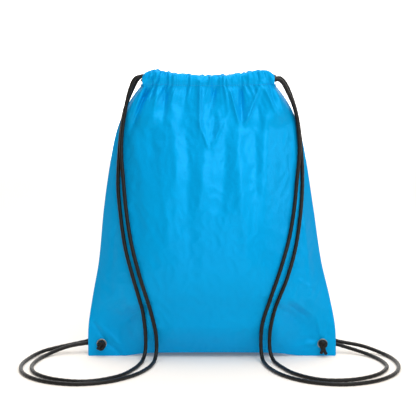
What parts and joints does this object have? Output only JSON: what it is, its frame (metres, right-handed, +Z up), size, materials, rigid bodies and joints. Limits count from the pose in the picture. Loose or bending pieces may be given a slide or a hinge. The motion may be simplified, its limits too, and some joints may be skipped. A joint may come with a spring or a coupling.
{
  "type": "drawstring gym bag",
  "caption": "Filled-out drawstring gym bag of thin woven cloth, with looped strap cords knotted through metal corner eyelets.",
  "frame": {"origin": "on the floor under the bag, midway between the two lower corners", "axes": "+Z up, -Y towards the side that the knots and cord loops show on, +X to the right seen from there"},
  "size_m": [0.5029, 0.2526, 0.389],
  "materials": {
    "cloth": "woven taffeta",
    "cord": "braided",
    "eyelet": "polished nickel",
    "thread": "spun thread"
  },
  "bodies": {
    "bag": {"front_panel": "cloth", "back_panel": "cloth", "side_seam_left": "cloth", "side_seam_right": "cloth", "bottom_seam": "cloth", "corner_patch_left": "cloth", "corner_patch_right": "cloth", "eyelet_left": "eyelet", "eyelet_right": "eyelet", "eyelet_washer_left": "eyelet", "eyelet_washer_right": "eyelet", "left_cord_in_hem": "cord", "right_cord_in_hem": "cord", "left_cord_front_run": "cord", "left_cord_back_run": "cord", "right_cord_front_run": "cord", "right_cord_back_run": "cord", "left_knot": "cord", "right_knot": "cord"},
    "mouth_front": {"front_hem": "cloth", "front_hem_thread": "thread"},
    "mouth_back": {"back_hem": "cloth", "back_hem_thread": "thread"}
  },
  "joints": [
    {"name": "mouth_front_open", "type": "slide", "parent": "bag", "child": "mouth_front", "axis": [0, -1, 0], "range_m": [0, 0.025], "deforming": ["left_cord_in_hem", "right_cord_in_hem"]},
    {"name": "mouth_back_open", "type": "slide", "parent": "bag", "child": "mouth_back", "axis": [0, 1, 0], "range_m": [0, 0.025], "deforming": ["left_cord_in_hem", "right_cord_in_hem"]}
  ],
  "couplings": [
    {"joint": "mouth_back_open", "follows": "mouth_front_open", "ratio": 1}
  ]
}
